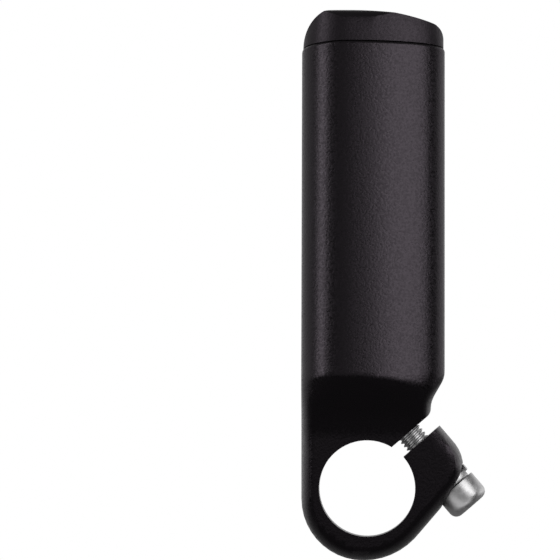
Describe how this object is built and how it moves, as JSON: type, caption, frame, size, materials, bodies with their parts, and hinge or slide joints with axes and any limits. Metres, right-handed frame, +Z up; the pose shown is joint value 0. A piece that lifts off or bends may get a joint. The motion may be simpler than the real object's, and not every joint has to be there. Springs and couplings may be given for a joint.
{
  "type": "bicycle bar end",
  "caption": "Right-hand ergonomic bar end: hollow oval grip leaning off a split handlebar clamp, plugged by a grooved end cap and tightened by a socket head bolt.",
  "frame": {"origin": "centre of the handlebar clamp's bore, on the middle plane of the clamp", "axes": "+Y along the handlebar towards the bicycle's middle, +Z up along the grip, +X towards the clamp bolt"},
  "size_m": [0.0424, 0.0432, 0.1273],
  "materials": {
    "black_aluminium": "matt black anodised",
    "black_plastic": "moulded, matt black",
    "zinc_steel": "zinc plated",
    "washer_steel": "zinc plated, dull"
  },
  "bodies": {
    "bar_end": {"handle_body": "black_aluminium", "end_cap": "black_plastic"},
    "bolt_carriage": {"spring_washer": "washer_steel"},
    "bolt_screw": {"clamp_bolt": "zinc_steel"}
  },
  "joints": [
    {"name": "bolt_travel", "type": "slide", "parent": "bar_end", "child": "bolt_carriage", "axis": [0.6534, 0, -0.757], "range_m": [0, 0.012]},
    {"name": "bolt_turn", "type": "hinge", "parent": "bolt_carriage", "child": "bolt_screw", "pos_m": [0.01181, 0, 0.01019], "axis": [0.6534, 0, -0.757], "range_deg": [0, 4600]}
  ],
  "couplings": [
    {"joint": "bolt_turn", "follows": "bolt_travel", "rad_per_m": 6283.2}
  ]
}
